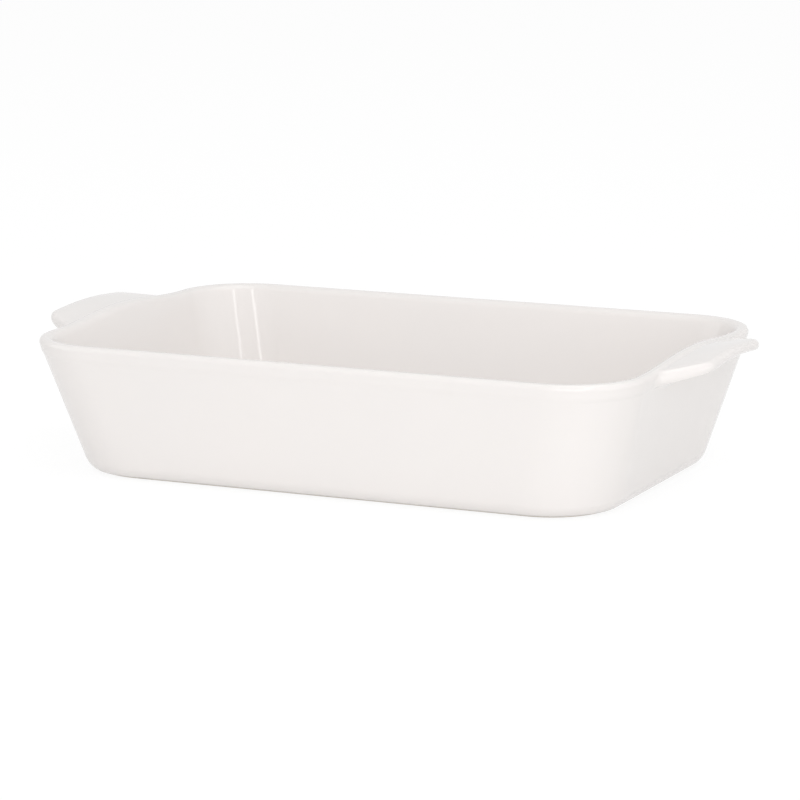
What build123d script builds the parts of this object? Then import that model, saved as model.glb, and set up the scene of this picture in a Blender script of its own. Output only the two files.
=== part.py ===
"""A rectangular stoneware baking dish with a lug handle on each end.

The dish is made the way a pottery makes it. The body is one piece of clay, with
sloping walls and a rolled rim. A lug is luted to each end wall with slip. A standing
foot of bare clay runs round the base. Once the clay has had its first firing, a coat
of glaze goes over everything but the foot, and a panel of it fills the hollow under
the base. The glaze is a layer of glass with a thickness of its own, so the clay and
the glaze are separate solids here, and each is worked out from the same sizes.

Lengths are in millimetres. +Z is up, +X runs through the right lug, and the origin is
on the standing surface at the middle of the dish. Sizes are those of the fired clay,
and the glaze adds its own thickness to them.
"""

from build123d import *
from math import atan2, cos, pi, sin, sqrt
import os

# The clay body
rim_length = 359.0  # over the outside of the end walls at the rim
rim_width = 246.0  # over the outside of the side walls at the rim
rim_height = 77.0  # from the table to the top of the rim, along the side walls
rim_bow = 4.0  # how much higher the rim stands at the middle of each end wall
draft = 21.0  # how far each wall steps in from the rim down to the table
corner_radius = 45.0  # upright corners, the same from the rim down to the base
wall = 7.0  # square to the wall's face
floor = 7.0
base_radius = 12.5  # round the bottom edge outside
inside_radius = 12.0  # where the floor turns up into the walls
rim_outer_radius = 2.3
rim_inner_radius = 4.9
bow_steps = 24  # even steps along the bowed rim

# The foot
foot_height = 1.8
foot_land = 6.0  # width of the flat that stands on the table
foot_flare = 1.8  # how much wider the foot is at its top, on its inner side

# The lugs
lug_reach = 22.0  # beyond the rim
lug_rise = 1.0  # of the tip above the rim
lug_seat_depth = 2.0  # of the top face below the rim, where the two meet
lug_edge_half = 35.5  # half of the straight outer edge
lug_half_span = 66.0  # half of the whole lug, along the wall
tip_radius = 2.6
tip_radius_at_ends = 3.5
cove_drop = 11.8  # from the underside of the tip to the foot of the cove, at mid-width
cove_half_span = 90.0  # where the foot of the cove would rise to the tip
lug_bite = 1.0  # how far the foot of the cove runs on into the wall before it is cut
lug_slide = 2.0  # how far the ends of the lug slide into the wall as they die away
lug_back = 12.0  # from the rim's edge back to where the uncut lug ends
lug_steps = 30  # even steps from section to section, so that the faces run smoothly through them

# The glaze
glaze = 0.5
bare_margin = 1.5  # left unglazed inside the foot
overrun = 20.0  # how far a cutting tool runs past what it cuts

lean = draft / rim_height  # sideways step of a wall for each millimetre of height
slant = sqrt(1 + lean**2)  # a step level across a wall, for each millimetre square to it
floor_top = foot_height + floor
bow_half = rim_width / 2 - corner_radius * slant  # the bow ends where the corners begin
clear_top = rim_height + rim_bow + overrun  # clear of the rim and the lugs


def rim_level(y):
    """Height of the rim, which bows upwards along the end walls and is level elsewhere."""
    along = min(abs(y) / bow_half, 1)
    return rim_height + rim_bow * cos(pi / 2 * along) ** 2


def wall_block(z, offset):
    """A block with the slope of the walls from level z up, its sides moved outwards by offset."""

    def slab(plane, span):
        half_foot = span / 2 + offset * slant - lean * (rim_height - z)
        half_top = half_foot + lean * (clear_top - z)
        corners = [(-half_foot, z), (half_foot, z), (half_top, clear_top), (-half_top, clear_top)]
        return extrude(plane * Polygon(*corners, align=None), amount=rim_length, both=True)

    block = slab(Plane.XZ, rim_length) & slab(Plane.YZ, rim_width)
    upright = block.edges() - block.edges().group_by(Axis.Z)[0] - block.edges().group_by(Axis.Z)[-1]
    return fillet(upright, corner_radius + offset)


def under_rim(coat):
    """A block that holds everything lower than the crest of the rim, drawn as seen from one end."""
    stations = [bow_half * (2 * i / bow_steps - 1) for i in range(bow_steps + 1)]
    bow = Spline([(y, rim_level(y) + coat) for y in stations], tangents=((1, 0), (1, 0)))
    side = rim_width / 2 + overrun
    level = rim_height + coat
    right = Polyline((bow_half, level), (side, level), (side, -overrun))
    left = Polyline((-bow_half, level), (-side, level), (-side, -overrun))
    bottom = Line((-side, -overrun), (side, -overrun))
    return extrude(Plane.YZ * make_face(bow + right + left + bottom), amount=rim_length, both=True)


def rolled(form, y, radius):
    """The form with one edge of its rim rounded all the way round, from the side wall at y on."""
    beside_side_wall = form.edges().sort_by_distance((0, y, rim_height))[0]
    return fillet(beside_side_wall, radius)


def outer_form(coat):
    """The outside of the dish as a full block, with a coat of glaze of this thickness."""
    form = wall_block(-coat, coat)
    form = fillet(form.edges().group_by(Axis.Z)[0], base_radius + coat) & under_rim(coat)
    return rolled(form, rim_width / 2, rim_outer_radius + coat)


def inner_form(coat):
    """The hollow of the dish as a full block, which the coat makes smaller."""
    form = wall_block(floor_top + coat, -(wall + coat))
    return fillet(form.edges().group_by(Axis.Z)[0], inside_radius - coat)


def hollowed(block, coat):
    """The block less the hollow of the dish, with the inner edge of the rim rolled over."""
    return rolled(block - inner_form(coat), rim_width / 2 - wall * slant, rim_inner_radius + coat)


def above(z):
    """A block that holds everything higher than z."""
    block = Box(
        rim_length + 2 * (lug_reach + overrun),
        rim_width + 2 * overrun,
        clear_top,
        align=(Align.CENTER, Align.CENTER, Align.MIN),
    )
    return Pos(0, 0, z) * block


def lug_fullness(y):
    """1 along the straight edge, falling in an S-curve to 0 at the ends of the lug."""
    along_flank = (abs(y) - lug_edge_half) / (lug_half_span - lug_edge_half)
    return cos(pi / 2 * along_flank) ** 2 if along_flank > 0 else 1.0


def lug_section(y, coat):
    """The right lug cut square to its length: a dished top, a round tip and a cove below."""
    full = lug_fullness(y)
    slide = lug_slide * (1 - full)
    tip = tip_radius_at_ends + (tip_radius - tip_radius_at_ends) * full
    rise = (lug_rise + lug_seat_depth) * full - lug_seat_depth
    drop = cove_drop * (1 - (y / cove_half_span) ** 2)

    # The tip is a round about this centre.
    rim_x = rim_length / 2
    tip_x = rim_x + lug_reach * full - tip - slide
    tip_z = rim_level(y) + rise - tip

    # The cove is one arc. It leaves the tip level and runs down into the wall.
    foot_z = tip_z - tip - drop
    foot_x = rim_x - lean * (rim_height - foot_z) - lug_bite - slide
    across = tip_x - foot_x
    cove_radius = (across**2 + drop**2) / (2 * drop)
    cove_turn = atan2(across, cove_radius - drop)
    cove_z = tip_z - tip - cove_radius

    def on_tip(turn):
        reach = tip + coat
        return Vector(tip_x + reach * sin(turn), y, tip_z + reach * cos(turn))

    def on_cove(share):
        reach = cove_radius - coat
        turn = cove_turn * share
        return Vector(tip_x - reach * sin(turn), y, cove_z + reach * cos(turn))

    back_x = rim_x - lug_back
    back_top = Vector(back_x, y, rim_level(y) - lug_seat_depth + coat)
    back_foot = Vector(back_x, y, on_cove(1).Z)
    outwards = Vector(1, 0, 0)
    outline = [
        Spline(back_top, on_tip(0), tangents=(outwards, outwards)),
        ThreePointArc(on_tip(0), on_tip(pi / 2), on_tip(pi)),
        ThreePointArc(on_cove(0), on_cove(1 / 2), on_cove(1)),
        Line(on_cove(1), back_foot),
        Line(back_foot, back_top),
    ]
    return Face(Wire(outline))


def right_lug(coat):
    """The whole right lug, still running on into the wall."""
    step = 2 * lug_half_span / lug_steps
    return loft([lug_section(step * i - lug_half_span, coat) for i in range(lug_steps + 1)])


def base_outline(z, inset):
    """The base's flat, cut level at z and moved inwards from the foot's outer edge."""
    edge = draft + base_radius * (slant - lean) + inset
    radius = corner_radius - base_radius - inset
    return Pos(0, 0, z) * RectangleRounded(rim_length - 2 * edge, rim_width - 2 * edge, radius)


def foot_hollow():
    """The shallow hollow inside the foot, from the table up to the base."""
    inner_edge = foot_land + foot_flare
    return loft([base_outline(0, foot_land), base_outline(foot_height, inner_edge)], ruled=True)


def clay_lug():
    """A lug cut back to the face of the end wall and the round of the rim."""
    return right_lug(0) - outer_form(0)


def whole_dish(coat):
    """Body and lugs in one, under a coat of glaze of this thickness."""
    lug = right_lug(coat)
    return hollowed(outer_form(coat) + lug + mirror(lug, Plane.YZ), coat)


def glaze_coat():
    """What the glazed dish has more than the bare one, down to the top of the foot."""
    return (whole_dish(glaze) & above(foot_height)) - whole_dish(0)


def base_glaze():
    """The panel of glaze under the base, inside the foot."""
    inset = foot_land + foot_flare + bare_margin
    return extrude(base_outline(foot_height, inset), amount=-glaze, dir=(0, 0, 1))


def build():
    """Every piece of the dish, by the name of its node."""
    outside = outer_form(0)
    handle_right = clay_lug()
    return {
        "dish_body": hollowed(outside, 0) & above(foot_height),
        "foot_ring": outside - above(foot_height) - foot_hollow(),
        "handle_left": mirror(handle_right, Plane.YZ),
        "handle_right": handle_right,
        "glaze_coat": glaze_coat(),
        "base_glaze": base_glaze(),
    }


os.makedirs("parts", exist_ok=True)
for name, piece in build().items():
    export_step(piece, f"parts/{name}.step")
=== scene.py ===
"""A rectangular stoneware baking dish with two lug handles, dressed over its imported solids.

The file follows the dish as it is made: the fired clay, the glaze that covers all of it
but the foot, the panel of glaze under the base, and then the studio. Sizes of the dish are
in millimetres, and those of materials, lamps and the studio in metres.
"""

import bpy
from math import cos, pi, radians, sin
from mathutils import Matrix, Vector


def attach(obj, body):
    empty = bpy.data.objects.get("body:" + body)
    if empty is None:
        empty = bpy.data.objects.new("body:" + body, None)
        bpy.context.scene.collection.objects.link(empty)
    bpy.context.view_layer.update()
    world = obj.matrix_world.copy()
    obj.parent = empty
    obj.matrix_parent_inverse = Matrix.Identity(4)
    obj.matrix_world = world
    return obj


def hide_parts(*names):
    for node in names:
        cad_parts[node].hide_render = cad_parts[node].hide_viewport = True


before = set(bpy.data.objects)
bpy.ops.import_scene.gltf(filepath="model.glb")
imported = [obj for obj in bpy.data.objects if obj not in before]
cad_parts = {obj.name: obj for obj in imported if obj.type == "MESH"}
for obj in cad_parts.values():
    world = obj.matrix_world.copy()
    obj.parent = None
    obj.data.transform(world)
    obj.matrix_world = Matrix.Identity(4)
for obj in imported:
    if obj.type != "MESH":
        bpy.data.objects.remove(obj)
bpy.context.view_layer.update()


# The clay
#
# The body, its foot and its two lugs are pale buff stoneware. The lugs are luted on with
# slip. The fired clay is dry and matt, with fine iron grains. The glaze hides all of it
# but the foot, where it was wiped off before the second firing.


class Tree:
    """A shader or geometry tree, filled node by node."""

    def __init__(self, tree):
        self.tree = tree
        tree.nodes.clear()

    def node(self, kind, settings=None, sockets=None):
        """Adds a node, with its settings first, and gives its sockets values or links."""
        made = self.tree.nodes.new(kind)
        for name, value in (settings or {}).items():
            setattr(made, name, value)
        for name, value in (sockets or {}).items():
            source = value.socket if isinstance(value, Field) else value
            if isinstance(source, bpy.types.NodeSocket):
                self.tree.links.new(source, made.inputs[name])
            else:
                made.inputs[name].default_value = source
        return made

    def field(self, kind, output=0, settings=None, sockets=None):
        return Field(self, self.node(kind, settings, sockets).outputs[output])

    def blend(self, share, start, end):
        """A colour between two others, through the Mix node's sockets for colour."""
        return self.field("ShaderNodeMix", 2, {"data_type": "RGBA"}, {0: share, 6: start, 7: end})

    def noise(self, place, scale, detail):
        """Soft noise between 0 and 1, with its scale per metre."""
        sockets = {"Vector": place, "Scale": scale, "Detail": detail}
        return self.field("ShaderNodeTexNoise", 0, None, sockets)

    def bump(self, height, relief, strength):
        """A normal that stands up by the relief, in metres, where the height is 1."""
        sockets = {"Strength": strength, "Distance": relief, "Height": height}
        return self.field("ShaderNodeBump", 0, None, sockets)


class Field:
    """A socket in an expression, which adds the maths nodes that it needs to its tree."""

    def __init__(self, tree, socket):
        self.tree, self.socket = tree, socket

    def maths(self, operation, *values, clamp=False):
        settings = {"operation": operation, "use_clamp": clamp}
        return self.tree.field("ShaderNodeMath", 0, settings, dict(enumerate(values)))

    def __add__(self, other):
        return self.maths("ADD", self, other)

    def __radd__(self, other):
        return self.maths("ADD", other, self)

    def __sub__(self, other):
        return self.maths("SUBTRACT", self, other)

    def __rsub__(self, other):
        return self.maths("SUBTRACT", other, self)

    def __mul__(self, other):
        return self.maths("MULTIPLY", self, other)

    def __rmul__(self, other):
        return self.maths("MULTIPLY", other, self)

    def __truediv__(self, other):
        return self.maths("DIVIDE", self, other)

    def __rtruediv__(self, other):
        return self.maths("DIVIDE", other, self)

    def __mod__(self, other):
        return self.maths("MODULO", self, other)

    def __pow__(self, other):
        return self.maths("POWER", self, other)

    def __neg__(self):
        return self.maths("MULTIPLY", self, -1.0)

    def __abs__(self):
        return self.maths("ABSOLUTE", self)

    def whole(self):
        return self.maths("FLOOR", self)

    def clamped(self):
        return self.maths("ADD", self, 0.0, clamp=True)

    def root(self):
        return self.maths("SQRT", self.at_least(0.0))

    def sine(self):
        return self.maths("SINE", self)

    def cosine(self):
        return self.maths("COSINE", self)

    def angle_of_slope(self):
        return self.maths("ARCTANGENT", self)

    def angle_of_sine(self):
        return self.maths("ARCSINE", self)

    def angle_over(self, other):
        return self.maths("ARCTAN2", self, other)

    def at_least(self, other):
        return self.maths("MAXIMUM", self, other)

    def at_least_softly(self, other, blend):
        return self.maths("SMOOTH_MAX", self, other, blend)


def mixed(start, end, share):
    """From start to end as share goes from 0 to 1."""
    return start + (end - start) * share


def new_material(name):
    material = bpy.data.materials.new(name)
    material.use_nodes = True
    return material, Tree(material.node_tree)


def finish_material(tree, sockets):
    """Ends a material in a Principled shader, which keeps its defaults elsewhere."""
    shader = tree.field("ShaderNodeBsdfPrincipled", 0, None, sockets)
    tree.node("ShaderNodeOutputMaterial", None, {"Surface": shader})


clay_pale = (0.82, 0.77, 0.69, 1)
clay_deep = (0.74, 0.68, 0.59, 1)
clay_iron = (0.36, 0.27, 0.19, 1)
clay_cloud_scale = 45.0  # per metre, as are the other scales
clay_grain_scale = 420.0
clay_tooth_scale = 2400.0
iron_reach = 0.16  # from a grain's middle to where its colour ends, in cells of the grain
iron_strength = 0.55
clay_smoother, clay_rougher = 0.78, 0.92
clay_relief = 0.00012
grain_relief = 0.5  # of the grains, beside the tooth's

fired_clay, clay = new_material("fired_clay")
clay_place = clay.field("ShaderNodeTexCoord", "Object")
clay_cloud = clay.noise(clay_place, clay_cloud_scale, 5.0)
clay_tooth = clay.noise(clay_place, clay_tooth_scale, 3.0)
clay_grain = clay.field(
    "ShaderNodeTexVoronoi", 0, None, {"Vector": clay_place, "Scale": clay_grain_scale}
)
iron_share = (1.0 - clay_grain / iron_reach).clamped() * iron_strength
clay_body = clay.blend(clay_cloud, clay_pale, clay_deep)
finish_material(clay, {
    "Base Color": clay.blend(iron_share, clay_body, clay_iron),
    "Roughness": mixed(clay_smoother, clay_rougher, clay_tooth),
    "Normal": clay.bump(clay_tooth + clay_grain * grain_relief, clay_relief, 0.5),
})

for clay_node in ("dish_body", "foot_ring", "handle_left", "handle_right"):
    clay_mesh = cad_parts[clay_node].data
    clay_mesh.materials.clear()
    clay_mesh.materials.append(fired_clay)


# The glaze coat
#
# One coat of glass over the whole dish, lugs and all, down to a line just above the foot.
# It was poured and sprayed on, so it is a shade thicker in the creases. Its surface is one
# sheet that follows the rules of the clay form, and it gets its thickness inwards.

sizes = {  # millimetres, the clay form's own
    "rim length": 359.0,
    "rim width": 246.0,
    "rim height": 77.0,
    "rim bow": 3.99,  # a hair under the clay form's, whose facets cut its crest
    "draft": 21.0,
    "corner radius": 45.0,
    "wall": 7.0,
    "floor level": 8.8,
    "base radius": 12.5,
    "inside radius": 12.0,
    "rim outer radius": 2.3,
    "rim inner radius": 4.9,
    "foot height": 1.8,
    "lug reach": 22.0,
    "lug rise": 1.0,
    "lug seat depth": 2.0,
    "lug edge half": 35.5,
    "lug half span": 66.0,
    "tip radius": 2.6,
    "tip radius at ends": 3.5,
    "cove drop": 11.8,
    "cove half span": 90.0,
    "lug bite": 1.0,
    "lug slide": 2.0,
    "lug back": 12.0,
    "glaze": 0.5,
    "crease blend": 0.2,  # how widely the glaze fills the crease where a lug meets the dish
    "crease blend at ends": 2.4,
}
millimetre = 0.001
one_point = 0.000002  # metres, the gap up to which two points of the sheet are one

# Columns run round half of the dish, and rows from the middle of the floor to the foot.
end_columns, corner_columns, side_columns = 84, 36, 32
half_columns = end_columns + 2 * corner_columns + side_columns
row_counts = {
    "floor": 9,
    "inside": 12,
    "inner wall": 10,
    "inner rim": 11,
    "crest": 1,
    "lug top": 23,
    "lug tip": 14,
    "cove": 13,
    "outer wall": 11,
    "base": 12,
}
all_rows = sum(row_counts.values()) + 1
top_crowding = 1.6  # above 1, a lug's top rows crowd towards the crest of the rim
top_least = 0.7  # of the rim's round, the least that the top rows cover where no lug stands
corner_blend = 0.07  # of half an end wall, where the lug's rows give way to the corner's

glaze_ivory = (0.885, 0.848, 0.826, 1)
glaze_cool = (0.867, 0.838, 0.821, 1)
pour_cloud_scale = 16.0  # per metre, as are the other scales
slow_wave_scale = 22.0
fine_peel_scale = 420.0
fine_peel_share = 0.012  # of the slow wave's height
glass_relief = 0.0002
glass_smoother, glass_rougher = 0.07, 0.11
glass_index = 1.5  # of refraction

ivory_glaze, glass = new_material("ivory_glaze")
glass_place = glass.field("ShaderNodeTexCoord", "Object")
pour_cloud = glass.noise(glass_place, pour_cloud_scale, 3.0)
slow_wave = glass.noise(glass_place, slow_wave_scale, 1.0)
fine_peel = glass.noise(glass_place, fine_peel_scale, 2.0)
finish_material(glass, {
    "Base Color": glass.blend(pour_cloud, glaze_ivory, glaze_cool),
    "Roughness": mixed(glass_smoother, glass_rougher, pour_cloud),
    "Normal": glass.bump(slow_wave + fine_peel * fine_peel_share, glass_relief, 1.0),
    "IOR": glass_index,
})

dish_tree = bpy.data.node_groups.new("glaze_coat", "GeometryNodeTree")
dish_tree.interface.new_socket("Geometry", in_out="OUTPUT", socket_type="NodeSocketGeometry")
dish_sockets = {
    name: dish_tree.interface.new_socket(name, in_out="INPUT", socket_type="NodeSocketFloat")
    for name in sizes
}
form = Tree(dish_tree)
given_sizes = form.node("NodeGroupInput")
size = {name: Field(form, given_sizes.outputs[name]) for name in sizes}
glaze = size["glaze"]
lean = size["draft"] / size["rim height"]
slant = (lean * lean + 1.0).root()

# Where a point of the sheet lies: its column round the dish and its row down the profile.
# The second half of the columns is the first half turned about the middle of the dish.
index = form.field("GeometryNodeInputIndex")
column = ((index + 0.5) / all_rows).whole()
row = index - column * all_rows
half_turns = ((column + 0.5) / half_columns).whole()
facing = 1.0 - 2.0 * (half_turns % 2.0)
along = column - half_turns * half_columns


def share_of(count, start, end):
    """0 up to a column or row, 1 from another one on, and even steps between them."""
    return ((count - start) / (end - start)).clamped()


# Half of the dish is an end wall, a corner, a side wall and a second corner.
first_turn = end_columns + corner_columns
second_turn = first_turn + side_columns
end_share = share_of(along, 0, end_columns)
side_share = share_of(along, first_turn, second_turn)
turned = share_of(along, end_columns, first_turn) + share_of(along, second_turn, half_columns)
turn = turned * (pi / 2)
heading_x, heading_y = turn.cosine(), turn.sine()
across_x, across_y = 1.0 - 2.0 * side_share, 2.0 * end_share - 1.0

# A corner is a leaning round post, so the wall's slope is steepest half way round it.
slope = lean * (abs(heading_x) + abs(heading_y))
tilt = slope.angle_of_slope()
tilt_cos, tilt_sin = tilt.cosine(), tilt.sine()
half_length = size["rim length"] / 2
post_length = half_length - size["corner radius"] * slant
post_width = size["rim width"] / 2 - size["corner radius"] * slant
outer_radius = size["corner radius"] + glaze
inner_radius = size["corner radius"] - size["wall"] - glaze


def beside_middle(level, post_gap):
    """How far along an end wall a column is, at a level on a round at this gap from the post."""
    return across_y * (post_width - lean * (size["rim height"] - level - post_gap * tilt_sin))


# The rim bows upwards along each end wall, as far as the corner posts.
round_radius = size["rim outer radius"] + glaze
round_gap = outer_radius - round_radius
side_round_level = size["rim height"] + glaze - round_radius
along_end = (abs(beside_middle(side_round_level, round_gap)) / post_width).clamped()
crest = size["rim height"] + glaze + size["rim bow"] * (along_end * (pi / 2)).cosine() ** 2.0


def rolled(post_gap, radius, level, angle):
    """A point on a round that runs round the dish: its level on the post, reach and height."""
    return (
        level + post_gap * tilt_sin,
        post_gap * tilt_cos + radius * angle.cosine(),
        level + radius * angle.sine(),
    )


def row_share(part):
    """0 where a part of the profile starts, 1 where it ends."""
    names = list(row_counts)
    start = sum(row_counts[name] for name in names[: names.index(part)])
    return share_of(row, start, start + row_counts[part])


inside_radius = size["inside radius"] - glaze
inside_angle = -mixed(pi / 2, tilt, row_share("inside"))
inside_level = size["floor level"] + glaze + inside_radius
inside = rolled(inner_radius - inside_radius, inside_radius, inside_level, inside_angle)
inner_rim_radius = size["rim inner radius"] + glaze
inner_rim_angle = -mixed(tilt, pi / 2, row_share("inner rim"))
inner_rim = rolled(
    inner_radius + inner_rim_radius, -inner_rim_radius, crest - inner_rim_radius, inner_rim_angle
)
base_radius = size["base radius"] + glaze
foot_line = ((size["base radius"] - size["foot height"]) / base_radius).angle_of_sine()
base_angle = -mixed(tilt, foot_line, row_share("base"))
base = rolled(outer_radius - base_radius, base_radius, size["base radius"], base_angle)

# The outer round of the rim, from which a lug grows. Distances out are from its middle.
round_level = crest - round_radius
round_post = round_level + round_gap * tilt_sin
round_fall = lean * (size["rim height"] - round_level - round_gap * lean / slant)
end_round = post_length - round_fall + round_gap / slant
beside = beside_middle(round_level, round_gap)
flank = share_of(abs(beside), size["lug edge half"], size["lug half span"])
full = (flank * (pi / 2)).cosine() ** 2.0
slid = size["lug slide"] * (1.0 - full)
tip_radius = mixed(size["tip radius at ends"], size["tip radius"], full)
rise = (size["lug rise"] + size["lug seat depth"]) * full - size["lug seat depth"]
tip_out = half_length + size["lug reach"] * full - tip_radius - slid - end_round
tip_level = crest - glaze + rise - tip_radius
drop = size["cove drop"] * (1.0 - (beside / size["cove half span"]) ** 2.0)
cove_foot = tip_level - tip_radius - drop
wall_at_foot = half_length - lean * (size["rim height"] - cove_foot)
foot_out = wall_at_foot - size["lug bite"] - slid - end_round
cove_span = tip_out - foot_out
cove_radius = (cove_span * cove_span + drop * drop) / (2.0 * drop)
cove_turn = cove_span.angle_over(cove_radius - drop)

# The glaze fills the crease more widely where the lug dies away.
crease = mixed(size["crease blend at ends"], size["crease blend"], full)


def eased(share):
    """A share from 0 to 1 that starts and ends level."""
    return share * share * (3.0 - 2.0 * share)


# The lug's top face leaves the rim level, dips and rises to the tip.
top_out = tip_out.at_least(round_radius * top_least) * row_share("lug top") ** top_crowding
seat_level = crest - size["lug seat depth"]
back_out = half_length - size["lug back"] - end_round
towards_tip = eased(share_of(top_out, back_out, tip_out))
top_level = mixed(seat_level, tip_level + tip_radius + glaze, towards_tip)
round_top = round_level + (round_radius * round_radius - top_out * top_out).root()
top_level = round_top.at_least_softly(top_level, crease)

# The tip's round and the cove run on from it, and end on the wall.
tip_angle = pi / 2 - pi * row_share("lug tip")
tip_reach = tip_radius + glaze
cove_angle = cove_turn * row_share("cove")
cove_reach = cove_radius - glaze
low_out = tip_out + tip_reach * tip_angle.cosine() - cove_reach * cove_angle.sine()
low_level = tip_level + tip_reach * tip_angle.sine() - cove_reach * (1.0 - cove_angle.cosine())
round_foot = round_level - round_radius * tilt_sin
round_sine = ((low_level - round_level) / round_radius).at_least(-tilt_sin)
below_round = -((round_foot - low_level).at_least(0.0))
wall_out = round_radius * (1.0 - round_sine * round_sine).root() + slope * below_round
low_out = low_out.at_least_softly(wall_out, crease)

past_top = (row_share("lug tip") * row_counts["lug tip"]).clamped()
lug_out = mixed(top_out, low_out, past_top)
lug_level = mixed(top_level, low_level, past_top)
on_corner = 1.0 - eased(((1.0 - abs(across_y)) / corner_blend).clamped())
slipped = below_round * past_top * on_corner
outer_rim = (round_post + slipped, round_gap * tilt_cos + lug_out - slope * slipped, lug_level)

# From part to part down the profile, with straight runs where a wall joins two rounds.
spot = inside
for run, part in (("inner wall", inner_rim), ("crest", outer_rim), ("outer wall", base)):
    spot = tuple(mixed(a, b, row_share(run)) for a, b in zip(spot, part))
post_level, reach, height = spot
spread = facing * row_share("floor") * millimetre
fall = lean * (size["rim height"] - post_level)
dish_place = form.field(
    "ShaderNodeCombineXYZ", 0, None,
    {
        "X": spread * (across_x * (post_length - fall) + reach * heading_x),
        "Y": spread * (across_y * (post_width - fall) + reach * heading_y),
        "Z": height * millimetre,
    },
)

# A flat grid of points is laid on the dish and closed where its edges and the middle meet.
dish_sheet = form.field(
    "GeometryNodeMeshGrid", 0, None, {"Vertices X": 2 * half_columns + 1, "Vertices Y": all_rows}
)
for step, step_sockets in (
    ("GeometryNodeSetPosition", {"Position": dish_place}),
    ("GeometryNodeMergeByDistance", {"Distance": one_point}),
    ("GeometryNodeFlipFaces", {}),
    ("GeometryNodeSetShadeSmooth", {}),
    ("GeometryNodeRealizeInstances", {}),
    ("GeometryNodeSetMaterial", {"Material": ivory_glaze}),
):
    dish_sheet = form.field(step, 0, None, {0: dish_sheet, **step_sockets})
form.node("NodeGroupOutput", None, {"Geometry": dish_sheet})


def grown(name, tree, values):
    """The plain mesh that a geometry tree grows, as an object of its own."""
    holder = bpy.data.objects.new(name, bpy.data.meshes.new(name))
    bpy.context.scene.collection.objects.link(holder)
    growth = holder.modifiers.new("growth", "NODES")
    growth.node_group = tree
    for socket, value in values:
        growth[socket.identifier] = value
    full_grown = holder.evaluated_get(bpy.context.evaluated_depsgraph_get())
    grown_mesh = bpy.data.meshes.new_from_object(full_grown)
    holder.modifiers.remove(growth)
    holder.data = grown_mesh
    return holder


size_inputs = [(dish_sockets[name], length) for name, length in sizes.items()]
glaze_coat = grown("glaze_coat_skin", dish_tree, size_inputs)
thickness = glaze_coat.modifiers.new("thickness", "SOLIDIFY")
thickness.thickness = sizes["glaze"] * millimetre
thickness.offset = -1.0  # all of it inwards
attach(glaze_coat, "root")
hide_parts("glaze_coat")


# The glaze under the base
#
# A panel of the same glaze inside the foot, poured into the shallow hollow. Only the foot
# itself is wiped, so the dish doesn't stick to the kiln shelf.

base_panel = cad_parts["base_glaze"].data
base_panel.materials.clear()
base_panel.materials.append(ivory_glaze)


# The studio
#
# A sheet of white paper under the dish, in white surroundings as bright as a light tent.
# Large soft lights stand in front, at both sides and above, and two thin strips give the
# streaks in the inner left corner.

paper_colour = (0.89, 0.89, 0.89, 1)
pure_white = (1, 1, 1, 1)
paper_half = 6.0
paper_level = -0.00005  # a hair under the foot, so the two faces don't lie in one plane
glow_strength = 1.05
glow_least, glow_most = 0.14, 0.86  # the glow's share for diffuse rays, and as the eye sees it
glow_mirrored = 0.82  # how far a reflection of the paper goes from the least to the most

paper_mesh = bpy.data.meshes.new("studio_floor")
paper_corners = [
    (x * paper_half, y * paper_half, paper_level)
    for x, y in ((-1, -1), (1, -1), (1, 1), (-1, 1))
]
paper_mesh.from_pydata(paper_corners, [], [(0, 1, 2, 3)])
studio_floor = bpy.data.objects.new("studio_floor", paper_mesh)
bpy.context.scene.collection.objects.link(studio_floor)

paper_sweep, sweep = new_material("paper_sweep")
sweep_seen = sweep.field("ShaderNodeLightPath", "Is Camera Ray")
sweep_glossy = sweep.field("ShaderNodeLightPath", "Is Glossy Ray")
sweep_share = (sweep_seen + sweep_glossy * glow_mirrored).clamped()
plain_paper = sweep.field("ShaderNodeBsdfDiffuse", 0, None, {"Color": paper_colour})
paper_glow = sweep.field(
    "ShaderNodeEmission", 0, None, {"Color": pure_white, "Strength": glow_strength}
)
glowing_paper = sweep.field(
    "ShaderNodeMixShader", 0, None,
    {0: mixed(glow_least, glow_most, sweep_share), 1: plain_paper, 2: paper_glow},
)
sweep.node("ShaderNodeOutputMaterial", None, {"Surface": glowing_paper})
paper_mesh.materials.append(paper_sweep)

air_least = 0.57  # the light that the surroundings give
air_most = 1.0  # white, as the eye sees them
air_mirrored = 0.8  # how far their reflection goes from the least to the most

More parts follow.
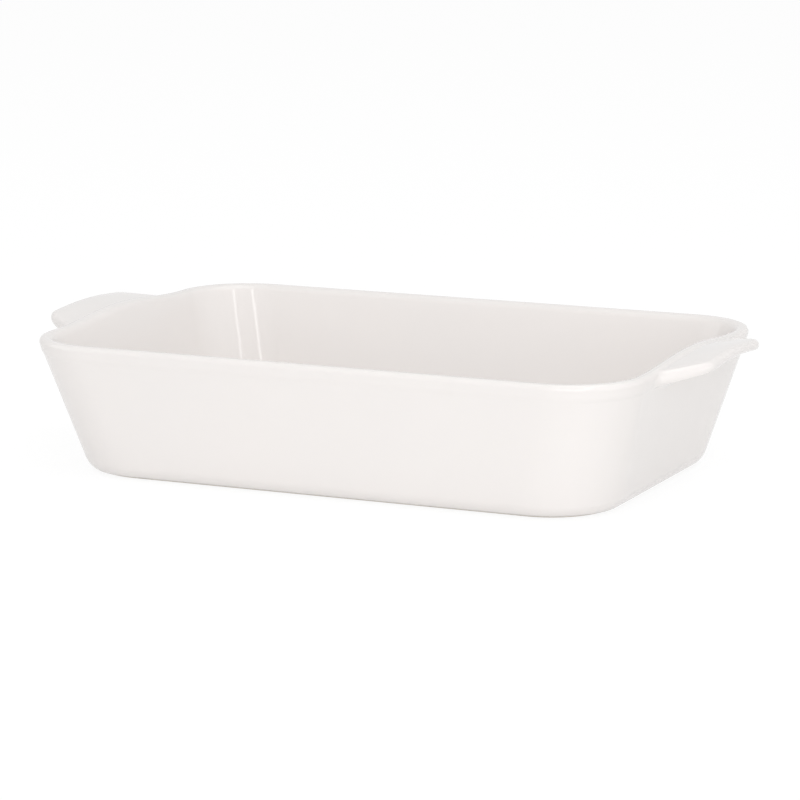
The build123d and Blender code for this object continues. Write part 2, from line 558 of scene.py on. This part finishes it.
surroundings = bpy.data.worlds.new("surroundings")
bpy.context.scene.world = surroundings
surroundings.use_nodes = True
air = Tree(surroundings.node_tree)
air_seen = air.field("ShaderNodeLightPath", "Is Camera Ray")
air_glossy = air.field("ShaderNodeLightPath", "Is Glossy Ray")
air_clear = air.field("ShaderNodeLightPath", "Is Transmission Ray")
air_share = (air_seen + air_clear + air_glossy * air_mirrored).clamped()
air_white = air.field(
    "ShaderNodeBackground", 0, None,
    {"Color": pure_white, "Strength": mixed(air_least, air_most, air_share)},
)
air.node("ShaderNodeOutputWorld", None, {"Surface": air_white})

middle = Vector((0, 0, 0.0388))  # of the dish, which the lamps and the camera look at


def from_middle(azimuth, elevation, distance):
    """A place seen from the middle of the dish, with azimuth 0 in front of it."""
    level = distance * cos(radians(elevation))
    return middle + Vector((
        level * sin(radians(azimuth)),
        -level * cos(radians(azimuth)),
        distance * sin(radians(elevation)),
    ))


def aimed(thing, place):
    """Puts a lamp or camera at a place, looking at the middle of the dish."""
    thing.location = place
    thing.rotation_euler = (middle - place).to_track_quat("-Z", "Y").to_euler()
    bpy.context.scene.collection.objects.link(thing)


def softbox(name, azimuth, elevation, distance, width, height, power):
    """A lamp with a flat, even face: angles in degrees, lengths in metres, power in watts."""
    lamp = bpy.data.lights.new(name, "AREA")
    lamp.shape, lamp.size, lamp.size_y, lamp.energy = "RECTANGLE", width, height, power
    aimed(bpy.data.objects.new(name, lamp), from_middle(azimuth, elevation, distance))


softbox("front_light", 25, 12, 2.4, 1.8, 1.2, 17)
softbox("right_light", 80, 7, 2.4, 1.6, 0.5, 3)
softbox("left_light", -72, 24, 2.4, 1.6, 1.2, 4.5)
softbox("top_light", 90, 75, 2.4, 2.0, 2.0, 15)
softbox("near_strip", 8, 34, 2.2, 0.13, 0.9, 1.5)
softbox("far_strip", 51, 34, 2.2, 0.13, 0.9, 1.4)

camera = bpy.data.objects.new("camera", bpy.data.cameras.new("camera"))
camera.data.sensor_width = 36.0
camera.data.lens = 160.377
camera.data.shift_x, camera.data.shift_y = 0.003974, -0.00337
aimed(camera, from_middle(24.293, 10.801, 2.01716))
bpy.context.scene.camera = camera
bpy.context.scene.view_settings.view_transform = "Standard"
